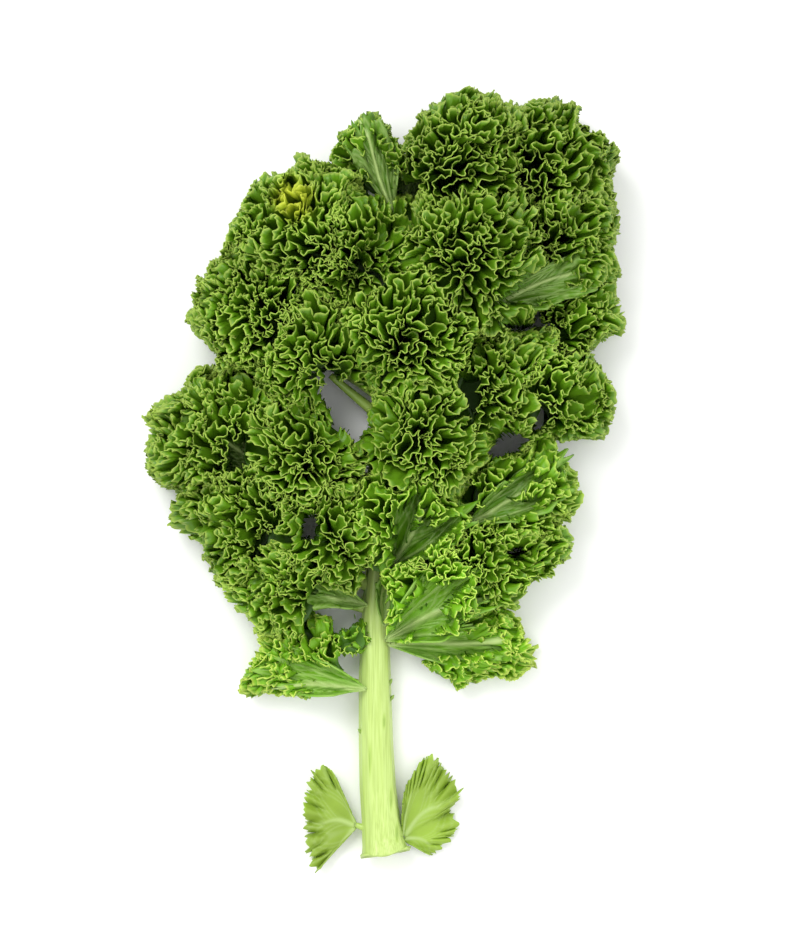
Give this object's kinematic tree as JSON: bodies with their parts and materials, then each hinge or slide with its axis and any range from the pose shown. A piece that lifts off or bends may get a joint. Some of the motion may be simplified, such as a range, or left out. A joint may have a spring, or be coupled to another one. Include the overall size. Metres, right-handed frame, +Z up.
{
  "type": "curly kale leaf",
  "caption": "Curly kale leaf lying flat: a pale ribbed stalk with crimped green lobes and small leaflets at its foot.",
  "frame": {"origin": "centre of the leaf's outline, on the surface it lies on", "axes": "+Y from the stalk's foot to the leaf's tip, +Z up from the surface, +X to the right seen from above"},
  "size_m": [0.222, 0.3624, 0.08],
  "materials": {
    "stalk_pale_green": "satin",
    "left_basal_green": "satin",
    "right_basal_green": "satin",
    "left_1_green": "satin",
    "left_2_green": "satin",
    "left_3_green": "satin",
    "left_4_green": "satin",
    "left_5_green": "satin",
    "left_6_green": "satin",
    "left_7_green": "satin",
    "left_8_green": "satin",
    "left_9_green": "satin",
    "left_10_green": "satin",
    "left_11_green": "satin",
    "left_12_green": "satin",
    "right_1_green": "satin",
    "right_2_green": "satin",
    "right_3_green": "satin",
    "right_4_green": "satin",
    "right_5_green": "satin",
    "right_6_green": "satin",
    "right_7_green": "satin",
    "right_8_green": "satin",
    "right_9_green": "satin",
    "right_10_green": "satin",
    "right_11_green": "satin",
    "right_12_green": "satin",
    "right_13_green": "satin",
    "right_14_green": "satin"
  },
  "bodies": {
    "root": {"stalk": "stalk_pale_green", "left_basal_blade": "left_basal_green", "right_basal_blade": "right_basal_green", "left_1_blade": "left_1_green", "left_2_blade": "left_2_green", "left_3_blade": "left_3_green", "left_4_blade": "left_4_green", "left_5_blade": "left_5_green", "left_6_blade": "left_6_green", "left_7_blade": "left_7_green", "left_8_blade": "left_8_green", "left_9_blade": "left_9_green", "left_10_blade": "left_10_green", "left_11_blade": "left_11_green", "left_12_blade": "left_12_green", "right_1_blade": "right_1_green", "right_2_blade": "right_2_green", "right_3_blade": "right_3_green", "right_4_blade": "right_4_green", "right_5_blade": "right_5_green", "right_6_blade": "right_6_green", "right_7_blade": "right_7_green", "right_8_blade": "right_8_green", "right_9_blade": "right_9_green", "right_10_blade": "right_10_green", "right_11_blade": "right_11_green", "right_12_blade": "right_12_green", "right_13_blade": "right_13_green", "right_14_blade": "right_14_green"}
  },
  "joints": []
}
